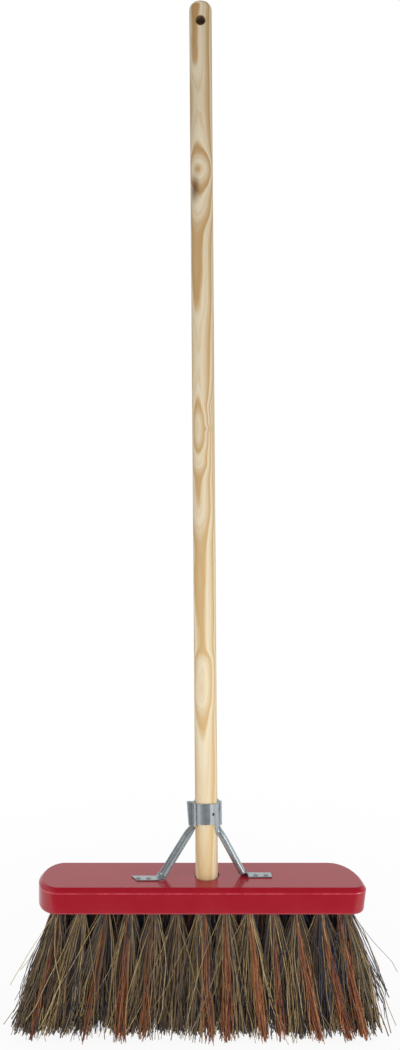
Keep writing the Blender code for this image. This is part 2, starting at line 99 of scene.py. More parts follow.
def smooth_copy(node_name, material, sharp_angle=38, flatness=90):
    """A merged and smoothly shaded copy of a CAD node, which stands in its place.

    Edges over the sharp angle stay sharp. Flatness, up to 100, is how level large faces are shaded.
    """
    merge_distance, level_angle = 1e-6, math.radians(0.3)
    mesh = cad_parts[node_name].data.copy()
    shell = bmesh.new()
    shell.from_mesh(mesh)
    bmesh.ops.remove_doubles(shell, verts=shell.verts, dist=merge_distance)
    bmesh.ops.dissolve_limit(shell, angle_limit=level_angle, verts=shell.verts, edges=shell.edges)
    for face in shell.faces:
        face.smooth = True
    shell.to_mesh(mesh)
    shell.free()
    mesh.set_sharp_from_angle(angle=math.radians(sharp_angle))
    mesh.materials.clear()
    mesh.materials.append(material)
    piece = bpy.data.objects.new(f"finished_{node_name}", mesh)
    bpy.context.scene.collection.objects.link(piece)
    weighted = piece.modifiers.new("even_shading", "WEIGHTED_NORMAL")
    weighted.keep_sharp = True
    weighted.weight = flatness
    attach(piece, "root")
    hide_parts(node_name)


enamel, tree, shader = new_material("red_enamel_on_beech")
place = add_node(tree, "ShaderNodeTexCoord").outputs["Object"]
blotch = add_node(tree, "ShaderNodeTexNoise", {"Vector": place, "Scale": 1 / blotch_width, "Detail": 3})
coat = add_node(tree, "ShaderNodeMix", {
    0: blotch, 6: hex_colour("#960a1e"), 7: hex_colour("#9e0d23"),
}, data_type="RGBA")
along = add_node(tree, "ShaderNodeMapping", {
    "Vector": place, "Scale": (1 / grain_length, 1 / grain_width, 1 / grain_width),
})
grain = add_node(tree, "ShaderNodeTexNoise", {"Vector": along, "Scale": 1, "Detail": 4})
height = add_node(tree, "ShaderNodeSeparateXYZ", {0: place}).outputs["Z"]
# Painted highlight: a thin, lighter line of paint along the foot of the moulding, broken into patches
moulding_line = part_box("stock")[1].z - moulding_depth
off_line = add_node(tree, "ShaderNodeMath", {0: height, 1: moulding_line}, operation="SUBTRACT")
off_line = add_node(tree, "ShaderNodeMath", {0: off_line}, operation="ABSOLUTE")
line = add_node(tree, "ShaderNodeMapRange", {
    "Value": off_line, "From Min": highlight_core, "From Max": highlight_edge, "To Min": 1, "To Max": 0,
})
highlight_patches = add_node(tree, "ShaderNodeTexNoise", {"Vector": place, "Scale": 1 / highlight_patch_width, "Detail": 2})
highlight_patches = add_node(tree, "ShaderNodeMapRange", {
    "Value": highlight_patches, "From Min": 0.40, "From Max": 0.62, "To Min": 0.30, "To Max": 0.80,
})
painted_highlight = add_node(tree, "ShaderNodeMath", {0: line, 1: highlight_patches}, operation="MULTIPLY")
colour = add_node(tree, "ShaderNodeMix", {0: painted_highlight, 6: coat, 7: hex_colour("#cc5060")}, data_type="RGBA")
tree.links.new(colour.outputs[2], shader.inputs["Base Color"])
gloss = add_node(tree, "ShaderNodeMapRange", {"Value": blotch, "To Min": 0.10, "To Max": 0.24})
tree.links.new(gloss.outputs[0], shader.inputs["Roughness"])
shader.inputs["IOR"].default_value = 1.55
shader.inputs["Sheen Weight"].default_value = 0.10
shader.inputs["Sheen Roughness"].default_value = 0.4
waves = add_node(tree, "ShaderNodeBump", {"Height": grain, "Distance": wave_height, "Strength": 0.25})
tree.links.new(waves.outputs[0], shader.inputs["Normal"])
smooth_copy("stock", enamel, sharp_angle=20)

# Bristles: tufts of split palm and bass fibre, folded, stapled into drilled holes and cut level.
# They look stiff, dull and a little crooked. Real ones are too fine to show: these are up to 1.8 mm thick.
# Outer rows are mostly undyed, and the inner ones mostly dyed blue-black with clumps of rust.
mottle_width, mottle_length = 0.001111, 0.0167
fibre, tree, shader = new_material("split_palm_fibre")
tone = add_node(tree, "ShaderNodeAttribute", attribute_name="fibre_tone").outputs["Fac"]
palette = add_node(tree, "ShaderNodeValToRGB", {"Fac": tone})
palette.color_ramp.interpolation = "CONSTANT"
fibre_colours = (
    (0.00, "#6a5840"), (0.12, "#7a654a"), (0.24, "#54443a"), (0.33, "#876f50"), (0.42, "#666054"),
    (0.49, "#4a3d36"), (0.56, "#967e56"), (0.61, "#a88e60"), (0.66, "#bca679"), (0.70, "#353b50"),
    (0.75, "#2c3142"), (0.80, "#453b42"), (0.85, "#905832"), (0.91, "#783c2c"), (0.96, "#aa7042"),
)
undyed_end, dyed_end = 0.70, 0.85
ramp = palette.color_ramp.elements
while len(ramp) < len(fibre_colours):
    ramp.new(1)
for element, (position, code) in zip(ramp, fibre_colours):
    element.position = position
    element.color = hex_colour(code)
place = add_node(tree, "ShaderNodeTexCoord").outputs["Object"]
stretched = add_node(tree, "ShaderNodeMapping", {
    "Vector": place, "Scale": (1 / mottle_width, 1 / mottle_width, 1 / mottle_length),
})
mottle = add_node(tree, "ShaderNodeTexNoise", {"Vector": stretched, "Scale": 1, "Detail": 2})
shade = add_node(tree, "ShaderNodeMapRange", {
    "Value": mottle, "From Min": 0.3, "From Max": 0.7, "To Min": 0.72, "To Max": 1.3,
})
colour = add_node(tree, "ShaderNodeVectorMath", {0: palette, "Scale": shade}, operation="SCALE")
tree.links.new(colour.outputs[0], shader.inputs["Base Color"])
sheen = add_node(tree, "ShaderNodeMapRange", {"Value": mottle, "To Min": 0.42, "To Max": 0.7})
tree.links.new(sheen.outputs[0], shader.inputs["Roughness"])

tree = bpy.data.node_groups.new("bristle_tufts", "GeometryNodeTree")
tree.interface.new_socket("Geometry", in_out="INPUT", socket_type="NodeSocketGeometry")
tree.interface.new_socket("Seed", in_out="INPUT", socket_type="NodeSocketInt")
for name in ("Length", "Flare", "Spread along", "Spread across", "Clumping", "Scatter", "Stray", "Crook",
             "Ragged", "Thinnest", "Thickest"):
    tree.interface.new_socket(name, in_out="INPUT", socket_type="NodeSocketFloat")
tree.interface.new_socket("Material", in_out="INPUT", socket_type="NodeSocketMaterial")
tree.interface.new_socket("Geometry", in_out="OUTPUT", socket_type="NodeSocketGeometry")
sizes = tree.nodes.new("NodeGroupInput").outputs
result = tree.nodes.new("NodeGroupOutput")

# What is told of each tuft, and what the tree works out for each of its fibres
tuft_facts = {"fibres": "INT", "hole_radius": "FLOAT", "lean": "FLOAT_VECTOR", "gather": "FLOAT",
              "palest": "FLOAT", "dyed": "FLOAT", "rust": "FLOAT"}
fibre_facts = {"hole": "FLOAT_VECTOR", "root": "FLOAT_VECTOR", "fan": "FLOAT_VECTOR",
               "opening": "FLOAT_VECTOR", "crook": "FLOAT_VECTOR", "tip": "FLOAT", "girth": "FLOAT"}
fields = {
    name: add_node(tree, "GeometryNodeInputNamedAttribute", {"Name": name}, data_type=kind)
    for name, kind in {**tuft_facts, **fibre_facts}.items()
}

# Every tuft is one vertex, which is doubled into its fibres
place = add_node(tree, "GeometryNodeInputPosition")
tufts = add_node(tree, "GeometryNodeMeshToPoints", {"Mesh": sizes["Geometry"]})
tufts = add_node(tree, "GeometryNodeStoreNamedAttribute", {
    "Geometry": tufts, "Name": "hole", "Value": place,
}, data_type="FLOAT_VECTOR", domain="POINT")
fibres = add_node(tree, "GeometryNodeDuplicateElements", {
    "Geometry": tufts, "Amount": fields["fibres"],
}, domain="POINT")
number = fibres.outputs["Duplicate Index"]
index = add_node(tree, "GeometryNodeInputIndex")

# What chance decides for each fibre: its lowest and its highest outcome
draws = {}
for lot, (name, kind, lowest, highest) in enumerate((
    ("scatter", "FLOAT_VECTOR", (-1, -1, 0), (1, 1, 0)),
    ("stray_reach", "FLOAT", 0, 1),
    ("stray_way", "FLOAT_VECTOR", (-1, -0.4, 0), (1, 0.4, 0)),
    ("shortness", "FLOAT", 0, 1),
    ("crook", "FLOAT_VECTOR", (-1, -0.5, 0), (1, 0.5, 0)),
    ("girth", "FLOAT", sizes["Thinnest"], sizes["Thickest"]),
    ("dye_bath", "FLOAT", 0, 1),
    ("undyed_tone", "FLOAT", fields["palest"], undyed_end),
    ("dyed_tone", "FLOAT", undyed_end, dyed_end),
    ("rust_tone", "FLOAT", dyed_end, 1),
)):
    seed = add_node(tree, "ShaderNodeMath", {0: sizes["Seed"], 1: lot}, operation="ADD")
    low_socket, high_socket = {"FLOAT": (2, 3), "FLOAT_VECTOR": (0, 1)}[kind]
    draws[name] = add_node(tree, "FunctionNodeRandomValue", {
        low_socket: lowest, high_socket: highest, "ID": index, "Seed": seed,
    }, data_type=kind)

# Fibres are packed evenly in the round hole, by turning each one on by the golden angle
golden_angle = 2.39996
packed = add_node(tree, "ShaderNodeMath", {0: number, 1: 0.5}, operation="ADD")
packed = add_node(tree, "ShaderNodeMath", {0: packed, 1: fields["fibres"]}, operation="DIVIDE")
packed = add_node(tree, "ShaderNodeMath", {0: packed}, operation="SQRT")
radius = add_node(tree, "ShaderNodeMath", {0: packed, 1: fields["hole_radius"]}, operation="MULTIPLY")
turn = add_node(tree, "ShaderNodeMath", {0: number, 1: golden_angle}, operation="MULTIPLY")
cosine = add_node(tree, "ShaderNodeMath", {0: turn}, operation="COSINE")
sine = add_node(tree, "ShaderNodeMath", {0: turn}, operation="SINE")
circle = add_node(tree, "ShaderNodeCombineXYZ", {0: cosine, 1: sine})
in_hole = add_node(tree, "ShaderNodeVectorMath", {0: circle, "Scale": radius}, operation="SCALE")
root = add_node(tree, "ShaderNodeVectorMath", {0: fields["hole"], 1: in_hole}, operation="ADD")

# How far each tip lies from its root: the rows fan out, the tufts lean and flare, and some fibres stray
spread = add_node(tree, "ShaderNodeCombineXYZ", {0: sizes["Spread along"], 1: sizes["Spread across"]})
fan = add_node(tree, "ShaderNodeVectorMath", {0: fields["hole"], 1: spread}, operation="MULTIPLY")
fan = add_node(tree, "ShaderNodeVectorMath", {0: fan, 1: fields["lean"]}, operation="ADD")
bundle_width = 0.0014
bundle = add_node(tree, "ShaderNodeVectorMath", {0: in_hole, 1: (bundle_width,) * 3}, operation="SNAP")
opening = add_node(tree, "ShaderNodeVectorMath", {0: bundle, "Scale": sizes["Flare"]}, operation="SCALE")
stray_reach = add_node(tree, "ShaderNodeMath", {0: draws["stray_reach"], 1: 5}, operation="POWER")
stray_reach = add_node(tree, "ShaderNodeMath", {0: stray_reach, 1: sizes["Stray"]}, operation="MULTIPLY")
for way, reach in ((draws["scatter"], sizes["Scatter"]), (draws["stray_way"], stray_reach)):
    shift = add_node(tree, "ShaderNodeVectorMath", {0: way, "Scale": reach}, operation="SCALE")
    opening = add_node(tree, "ShaderNodeVectorMath", {0: opening, 1: shift}, operation="ADD")
opening = add_node(tree, "ShaderNodeVectorMath", {0: opening, "Scale": fields["gather"]}, operation="SCALE")

# The few fibres of a bundle cling together: they lean the same way and end at about the same height
bundles_per_metre = 900
bundle_place = add_node(tree, "ShaderNodeVectorMath", {0: fields["hole"], 1: bundle}, operation="ADD")
cling = add_node(tree, "ShaderNodeTexNoise", {
    "Vector": bundle_place, "W": sizes["Seed"], "Scale": bundles_per_metre, "Detail": 0,
}, noise_dimensions="4D").outputs["Color"]
cling = add_node(tree, "ShaderNodeVectorMath", {0: cling, 1: (0.5, 0.5, 0.5)}, operation="SUBTRACT")
cling = add_node(tree, "ShaderNodeVectorMath", {0: cling, "Scale": sizes["Clumping"]}, operation="SCALE")
sideways = add_node(tree, "ShaderNodeVectorMath", {0: cling, 1: (1, 0.4, 0)}, operation="MULTIPLY")
opening = add_node(tree, "ShaderNodeVectorMath", {0: opening, 1: sideways}, operation="ADD")

# A fibre that leans further ends higher, and none reaches below the level cut
level_cut = 0.0008
ragged = add_node(tree, "ShaderNodeMath", {0: draws["shortness"], 1: 3}, operation="POWER")
ragged = add_node(tree, "ShaderNodeMath", {0: ragged, 1: sizes["Ragged"]}, operation="MULTIPLY")
upwards = add_node(tree, "ShaderNodeSeparateXYZ", {0: cling}).outputs["Z"]
upwards = add_node(tree, "ShaderNodeMath", {0: upwards, 1: 0}, operation="MAXIMUM")
ragged = add_node(tree, "ShaderNodeMath", {0: upwards, 1: 0.4, 2: ragged}, operation="MULTIPLY_ADD")
leaning = add_node(tree, "ShaderNodeVectorMath", {0: fan, 1: opening}, operation="ADD")
leaning = add_node(tree, "ShaderNodeVectorMath", {0: leaning}, operation="LENGTH")
leaning = add_node(tree, "ShaderNodeMath", {0: leaning, 1: 2}, operation="POWER")
upright = add_node(tree, "ShaderNodeMath", {0: sizes["Length"], 1: 2}, operation="POWER")
upright = add_node(tree, "ShaderNodeMath", {0: upright, 1: leaning}, operation="SUBTRACT")
upright = add_node(tree, "ShaderNodeMath", {0: upright, 1: 0}, operation="MAXIMUM")
upright = add_node(tree, "ShaderNodeMath", {0: upright}, operation="SQRT")
rise = add_node(tree, "ShaderNodeMath", {0: sizes["Length"], 1: upright}, operation="SUBTRACT")
tip = add_node(tree, "ShaderNodeMath", {0: rise, 1: 0.45, 2: ragged}, operation="MULTIPLY_ADD")
tip = add_node(tree, "ShaderNodeMath", {0: tip, 1: level_cut}, operation="ADD")
crook = add_node(tree, "ShaderNodeVectorMath", {
    0: draws["crook"], "Scale": sizes["Crook"],
}, operation="SCALE")

# Tone: undyed fibres take the first part of the palette, dyed ones the next, clumps of rust the last
clumps_per_metre = 190
is_dyed = add_node(tree, "ShaderNodeMath", {0: draws["dye_bath"], 1: fields["dyed"]}, operation="LESS_THAN")
clump = add_node(tree, "ShaderNodeTexNoise", {
    "Vector": root, "W": sizes["Seed"], "Scale": clumps_per_metre, "Detail": 1,
}, noise_dimensions="4D")
is_rust = add_node(tree, "ShaderNodeMath", {0: clump, 1: fields["rust"]}, operation="LESS_THAN")
tone = add_node(tree, "GeometryNodeSwitch", {
    0: is_dyed, 1: draws["undyed_tone"], 2: draws["dyed_tone"],
}, input_type="FLOAT")
tone = add_node(tree, "GeometryNodeSwitch", {0: is_rust, 1: tone, 2: draws["rust_tone"]}, input_type="FLOAT")

points = fibres
for name, value in (("root", root), ("fan", fan), ("opening", opening), ("crook", crook), ("tip", tip),
                    ("girth", draws["girth"]), ("fibre_tone", tone)):
    points = add_node(tree, "GeometryNodeStoreNamedAttribute", {
        "Geometry": points, "Name": name, "Value": value,
    }, data_type=fibre_facts.get(name, "FLOAT"), domain="POINT")

# Each fibre is a line of nine points, from inside its hole to its tip
packed_depth = 0.006
strand = add_node(tree, "GeometryNodeCurvePrimitiveLine")
strand = add_node(tree, "GeometryNodeResampleCurve", {"Curve": strand, "Count": 9})
strands = add_node(tree, "GeometryNodeInstanceOnPoints", {"Points": points, "Instance": strand})
strands = add_node(tree, "GeometryNodeRealizeInstances", {"Geometry": strands})
factor = add_node(tree, "GeometryNodeSplineParameter").outputs["Factor"]
start = add_node(tree, "ShaderNodeMath", {0: sizes["Length"], 1: packed_depth}, operation="ADD")
height = add_node(tree, "ShaderNodeMapRange", {"Value": factor, "To Min": start, "To Max": fields["tip"]})
drop = add_node(tree, "ShaderNodeMath", {0: sizes["Length"], 1: height}, operation="SUBTRACT")
drop = add_node(tree, "ShaderNodeMath", {0: drop, 1: sizes["Length"]}, operation="DIVIDE")

# It fans out ever faster, flares most near its hole, bows out in the middle and is kinked towards its tip
kinks_along, kinks_across, kink_reach = 24, 900, 0.022
size_of_drop = add_node(tree, "ShaderNodeMath", {0: drop}, operation="ABSOLUTE")
square = add_node(tree, "ShaderNodeMath", {0: drop, 1: size_of_drop}, operation="MULTIPLY")
fan_course = add_node(tree, "ShaderNodeMath", {0: square, 1: 0.25}, operation="MULTIPLY")
fan_course = add_node(tree, "ShaderNodeMath", {0: drop, 1: 0.75, 2: fan_course}, operation="MULTIPLY_ADD")
flare_course = add_node(tree, "ShaderNodeMath", {0: drop, 1: 0}, operation="MAXIMUM")
flare_course = add_node(tree, "ShaderNodeMath", {0: flare_course, 1: 0.78}, operation="POWER")
bow = add_node(tree, "ShaderNodeMath", {0: 1, 1: drop}, operation="SUBTRACT")
bow = add_node(tree, "ShaderNodeMath", {0: bow, 1: drop}, operation="MULTIPLY")
level = add_node(tree, "ShaderNodeCombineXYZ", {2: height})
kink_level = add_node(tree, "ShaderNodeVectorMath", {0: level, "Scale": kinks_along}, operation="SCALE")
kink_place = add_node(tree, "ShaderNodeVectorMath", {
    0: fields["root"], "Scale": kinks_across,
}, operation="SCALE")
kink_place = add_node(tree, "ShaderNodeVectorMath", {0: kink_level, 1: kink_place}, operation="ADD")
kink = add_node(tree, "ShaderNodeTexNoise", {"Vector": kink_place, "Scale": 1, "Detail": 1}).outputs["Color"]
kink = add_node(tree, "ShaderNodeVectorMath", {0: kink, 1: (0.5, 0.5, 0.5)}, operation="SUBTRACT")
kink = add_node(tree, "ShaderNodeVectorMath", {0: kink, 1: (kink_reach, kink_reach, 0)}, operation="MULTIPLY")
course = add_node(tree, "ShaderNodeVectorMath", {0: fields["root"], 1: level}, operation="ADD")
for way, share in ((fields["fan"], fan_course), (fields["opening"], flare_course), (fields["crook"], bow),
                   (kink, flare_course)):
    bend = add_node(tree, "ShaderNodeVectorMath", {0: way, "Scale": share}, operation="SCALE")
    course = add_node(tree, "ShaderNodeVectorMath", {0: course, 1: bend}, operation="ADD")
# No fibre reaches past the room that the broom may fill
room_x, room_y = 0.256, 0.070
course = add_node(tree, "ShaderNodeVectorMath", {0: course, 1: (room_x, room_y, 1)}, operation="MINIMUM")
course = add_node(tree, "ShaderNodeVectorMath", {0: course, 1: (-room_x, -room_y, 0)}, operation="MAXIMUM")
strands = add_node(tree, "GeometryNodeSetPosition", {"Geometry": strands, "Position": course})

# Its three sides run the whole way, a little thinner at the root
taper = add_node(tree, "ShaderNodeMapRange", {"Value": factor, "To Min": 0.85, "To Max": 1})
thickness = add_node(tree, "ShaderNodeMath", {0: taper, 1: fields["girth"]}, operation="MULTIPLY")
profile = add_node(tree, "GeometryNodeCurvePrimitiveCircle", {"Resolution": 3, "Radius": 1})
body = add_node(tree, "GeometryNodeCurveToMesh", {
    "Curve": strands, "Profile Curve": profile, "Scale": thickness, "Fill Caps": True,
})
body = add_node(tree, "GeometryNodeSetShadeSmooth", {"Geometry": body})
body = add_node(tree, "GeometryNodeRealizeInstances", {"Geometry": body})
body = add_node(tree, "GeometryNodeSetMaterial", {"Geometry": body, "Material": sizes["Material"]})
tree.links.new(body.outputs[0], result.inputs[0])
bristle_tree = tree

common_sizes = {
    "Length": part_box("stock")[0].z, "Flare": 1.5, "Spread along": 0.138, "Spread across": 0.70,
    "Clumping": 0.080, "Scatter": 0.0028, "Stray": 0.040, "Crook": 0.030, "Ragged": 0.007,
    "Thinnest": 0.00036, "Thickest": 0.00088, "Material": fibre,
}


def grow_bristles(name, tufts, replaced=(), **changed_sizes):
    """Run the bristle tree over a list of (place, facts) tufts, and keep the result as a plain mesh."""
    mesh = bpy.data.meshes.new(name)
    mesh.from_pydata([place for place, facts in tufts], [], [])
    for fact, kind in tuft_facts.items():
        layer = mesh.attributes.new(fact, kind, "POINT")
        for item, (place, facts) in zip(layer.data, tufts):
            if kind == "FLOAT_VECTOR":
                item.vector = facts[fact]
            else:
                item.value = facts[fact]
    holder = bpy.data.objects.new(name, mesh)
    bpy.context.scene.collection.objects.link(holder)
    modifier = holder.modifiers.new("bristles", "NODES")
    modifier.node_group = bristle_tree
    values = {**common_sizes, **changed_sizes}
    for item in bristle_tree.interface.items_tree:
        if item.in_out == "INPUT" and item.name in values:
            modifier[item.identifier] = values[item.name]
    evaluated = holder.evaluated_get(bpy.context.evaluated_depsgraph_get())
    mesh = bpy.data.meshes.new_from_object(evaluated)
    for spent in (*tuft_facts, *fibre_facts):
        if spent in mesh.attributes:
            mesh.attributes.remove(mesh.attributes[spent])
    holder.modifiers.clear()
    holder.data = mesh
    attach(holder, "root")
    if replaced:
        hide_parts(*replaced)


# The four rows stand in staggered holes; the middle two are dyed the most
chance = random.Random(7)
row_length, front_tufts, tuft_hole_radius = 0.350, 13, 0.0047
pitch = row_length / (front_tufts - 1)
for row, tuft_count, row_y, fibre_count, dyed_share, rust_level in (
    ("a", front_tufts, -0.024, 250, 0.20, 0.30), ("b", front_tufts - 1, -0.008, 230, 0.80, 0.36),
    ("c", front_tufts, 0.008, 150, 0.66, 0.36), ("d", front_tufts - 1, 0.024, 190, 0.30, 0.34),
):
    tufts = []
    for number in range(tuft_count):
        tuft_x = (number - (tuft_count - 1) / 2) * pitch
        tufts.append(((tuft_x, row_y, 0), {
            "fibres": fibre_count, "hole_radius": tuft_hole_radius,
            "gather": chance.uniform(0.70, 1.30), "palest": 0,
            "lean": (chance.uniform(-0.015, 0.015), chance.uniform(-0.005, 0.005), 0),
            "dyed": dyed_share * chance.uniform(0.6, 1.4), "rust": rust_level + chance.uniform(-0.03, 0.03),
        }))
    nodes = [f"tuft_{row}{number + 1:02d}" for number in range(tuft_count)]
    grow_bristles(f"bristles_row_{row}", tufts, nodes, Seed=ord(row))

# Locks of rust-dyed fibre in the front row: place along the head, sideways lean at the tips, and fibres
lock_y, lock_radius, lock_forward_lean = -0.0272, 0.0016, 0.016
locks = ((-0.1735, -0.006, 16), (-0.1160, -0.010, 16), (-0.0890, 0.004, 22), (-0.0600, -0.004, 14),
         (0.0030, 0.010, 22), (0.0300, -0.002, 44), (0.0590, 0.008, 36), (0.0870, -0.004, 14),
         (0.1150, 0.012, 34), (0.1450, 0.012, 46), (0.1680, 0.006, 20))
tufts = [((lock_x, lock_y, 0), {
    "fibres": fibre_count, "hole_radius": lock_radius, "gather": 0.5,
    "lean": (lock_lean, -lock_forward_lean, 0), "palest": 0, "dyed": 0, "rust": 1,
}) for lock_x, lock_lean, fibre_count in locks]
grow_bristles("rust_locks", tufts, Seed=5, Clumping=0.014, Scatter=0.005, Stray=0.02, Crook=0.010,
              Thinnest=0.0004, Thickest=0.0007)

# Loose fibres that cross the front and the back, and a few that stick out past both ends
front_count, back_count, end_count = 200, 80, 44
loose_y, loose_radius, furthest_lean = 0.0275, 0.0005, 0.074
tufts = []
for number in range(front_count + back_count):
    side = -1 if number < front_count else 1
    tuft_x = (chance.randrange(front_tufts) - front_tufts // 2) * pitch + chance.uniform(-0.004, 0.004)
    lean_x = chance.choice((-1, 1)) * chance.random() ** 2 * furthest_lean
    tufts.append(((tuft_x, side * loose_y, 0), {
        "fibres": 1, "hole_radius": loose_radius, "gather": 1, "palest": 0.50, "dyed": 0.06, "rust": 0.3,
        "lean": (lean_x, side * chance.uniform(0.006, 0.018), 0),
    }))
for number in range(end_count):
    side = 1 if number % 2 else -1
    tufts.append(((side * chance.uniform(0.166, 0.178), chance.uniform(-0.027, 0.010), 0), {
        "fibres": 1, "hole_radius": loose_radius, "gather": 1, "palest": 0.24, "dyed": 0.2, "rust": 0.3,
        "lean": (side * chance.uniform(0.0, 0.033), chance.uniform(-0.010, 0.010), 0),
    }))
grow_bristles("loose_fibres", tufts, Seed=53, Clumping=0, Scatter=0.006, Stray=0, Crook=0.05, Ragged=0.045,
              Thinnest=0.00030, Thickest=0.00050)

# Handle: a pole of fast-grown pine, sawn off-centre, turned round and sanded, but not varnished.
# The cut crosses year rings about 7 mm wide: pale early wood and tan late wood make flames and eyes.
handle_radius, top_round, end_chamfer = 0.014, 0.010, 0.001
foot_x, lean_angle = 0.0068, math.radians(0.42)
hanging_hole_radius, hanging_hole_drop = 0.00575, 0.028
ring_width, pith_place, drift_length = 0.0070, (0.0061, 0.0180), 0.1111
streak_width, streak_length, fuzz_height = 0.000714, 0.0714, 0.0001
stock_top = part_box("stock")[1].z
pole_low, pole_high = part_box("handle")[0].z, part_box("handle")[1].z
pole_length = pole_high - stock_top
hole_height = pole_length - hanging_hole_drop
hole_x = foot_x - hole_height * math.tan(lean_angle)

pine, tree, shader = new_material("sanded_pine")
place = add_node(tree, "ShaderNodeTexCoord").outputs["Object"]
axes = add_node(tree, "ShaderNodeSeparateXYZ", {0: place}).outputs
# The pole leans a little, so its pattern is measured from its own axis
off_axis = add_node(tree, "ShaderNodeMath", {
    0: axes["Z"], 1: math.tan(lean_angle), 2: -foot_x - stock_top * math.tan(lean_angle),
}, operation="MULTIPLY_ADD")
off_axis = add_node(tree, "ShaderNodeCombineXYZ", {0: off_axis})
place = add_node(tree, "ShaderNodeVectorMath", {0: place, 1: off_axis}, operation="ADD")
down = add_node(tree, "ShaderNodeMapRange", {
    "Value": axes["Z"], "From Min": pole_low, "From Max": pole_high, "To Min": 0, "To Max": 1,
})


def by_height(points, most):
    """A value that follows (height, value) points up the pole; most is the top of the curve's range."""
    node = add_node(tree, "ShaderNodeFloatCurve", {"Value": down})
    curve = node.mapping.curves[0]
    steps = sorted(((z - pole_low) / (pole_high - pole_low), value / most) for z, value in points)
    for point, step in zip(curve.points, (steps[0], steps[-1])):
        point.location = step
    for step in steps[1:-1]:
        curve.points.new(*step)
    node.mapping.update()
    return add_node(tree, "ShaderNodeMath", {0: node, 1: most}, operation="MULTIPLY")


# Years passed on the way down the pole, as (height, ring) steps: whole numbers are sharp ring edges
ring_steps = (
    (1.261, 2.74), (1.243, 2.87), (1.225, 2.925), (1.203, 2.955), (1.183, 2.99), (1.176, 3.06),
    (1.134, 3.30), (1.095, 3.12), (1.084, 3.00), (1.075, 2.85), (1.065, 2.42), (1.058, 2.10),
    (1.050, 1.90), (1.042, 2.04), (1.035, 2.32), (1.023, 2.75), (1.012, 3.00), (1.003, 3.12),
    (0.993, 3.30), (0.979, 3.65), (0.962, 3.80), (0.900, 3.89), (0.880, 3.94), (0.870, 4.01),
    (0.863, 4.09), (0.813, 4.20), (0.779, 4.10), (0.769, 4.00), (0.760, 3.88), (0.751, 3.60),
    (0.741, 3.25), (0.724, 3.12), (0.712, 3.25), (0.703, 3.60), (0.693, 3.90), (0.685, 4.02),
    (0.680, 4.25), (0.672, 4.60), (0.662, 4.80), (0.645, 4.89), (0.631, 4.95), (0.624, 5.02),
    (0.619, 5.09), (0.611, 5.25), (0.598, 5.50), (0.585, 5.65), (0.548, 5.74), (0.500, 5.82),
    (0.470, 5.86), (0.458, 5.84), (0.448, 5.50), (0.438, 5.15), (0.416, 5.05), (0.393, 5.20),
    (0.384, 5.45), (0.374, 5.70), (0.359, 5.88), (0.347, 5.97), (0.339, 6.06), (0.319, 6.15),
    (0.275, 6.30), (0.160, 6.70),
)
along = by_height(ring_steps, most=8)

drift_place = add_node(tree, "ShaderNodeMapping", {"Vector": place, "Scale": (0, 0, 1 / drift_length)})
drift = add_node(tree, "ShaderNodeTexNoise", {"Vector": drift_place, "Scale": 1, "Detail": 1})
pith_x = add_node(tree, "ShaderNodeMapRange", {
    "Value": drift, "From Min": 0.3, "From Max": 0.7, "To Min": 0.003, "To Max": 0.008,
})
lower_pith = add_node(tree, "ShaderNodeCombineXYZ", {0: pith_x, 1: pith_place[1]})
lower_pith = add_node(tree, "ShaderNodeVectorMath", {0: lower_pith}, operation="LENGTH")
# How far to the left the flames lie, by height; the rings keep their number where the pith moves
flame_turn = by_height(((0.160, 0), (0.450, 0), (0.540, 0.0045), (0.940, 0.0045), (1.010, 0.001), (1.100, 0),
                        (1.140, 0), (1.200, 0.005), (1.261, 0.005)), most=0.01)
pith_x = add_node(tree, "ShaderNodeMath", {0: pith_x, 1: flame_turn}, operation="ADD")
pith = add_node(tree, "ShaderNodeCombineXYZ", {0: pith_x, 1: pith_place[1]})
moved_off = add_node(tree, "ShaderNodeVectorMath", {0: pith}, operation="LENGTH")
moved_off = add_node(tree, "ShaderNodeMath", {0: moved_off, 1: lower_pith}, operation="SUBTRACT")
flat = add_node(tree, "ShaderNodeVectorMath", {0: place, 1: (1, 1, 0)}, operation="MULTIPLY")
away = add_node(tree, "ShaderNodeVectorMath", {0: flat, 1: pith}, operation="DISTANCE")
furthest = math.hypot(*pith_place) + handle_radius
across = add_node(tree, "ShaderNodeMath", {0: furthest, 1: away}, operation="SUBTRACT")
across = add_node(tree, "ShaderNodeMath", {0: across, 1: moved_off}, operation="ADD")
across = add_node(tree, "ShaderNodeMath", {0: across, 1: ring_width}, operation="DIVIDE")
# Near the branches the rings crowd together: how many times closer they lie, by height
crowd = by_height(((0.160, 1.0), (0.300, 1.0), (0.360, 1.5), (0.415, 1.9), (0.460, 1.5), (0.520, 1.0),
                   (0.620, 1.3), (0.670, 1.8), (0.705, 2.8), (0.735, 3.2), (0.765, 1.8), (0.810, 1.0),
                   (1.000, 1.0), (1.050, 1.2), (1.090, 1.0), (1.261, 1.0)), most=4)
across = add_node(tree, "ShaderNodeMath", {0: across, 1: crowd}, operation="MULTIPLY")
year = add_node(tree, "ShaderNodeMath", {0: along, 1: across}, operation="ADD")
# The rings waver broadly and finely: width and length of a wave, and its depth in rings
for width, length, depth in ((0.0182, 0.100, 0.30), (0.00143, 0.0222, 0.10)):
    wobble_place = add_node(tree, "ShaderNodeMapping", {
        "Vector": place, "Scale": (1 / width, 1 / width, 1 / length),
    })
    wobble = add_node(tree, "ShaderNodeTexNoise", {"Vector": wobble_place, "Scale": 1, "Detail": 2})
    wobble = add_node(tree, "ShaderNodeMath", {0: wobble, 1: 0.5}, operation="SUBTRACT")
    year = add_node(tree, "ShaderNodeMath", {0: wobble, 1: depth, 2: year}, operation="MULTIPLY_ADD")

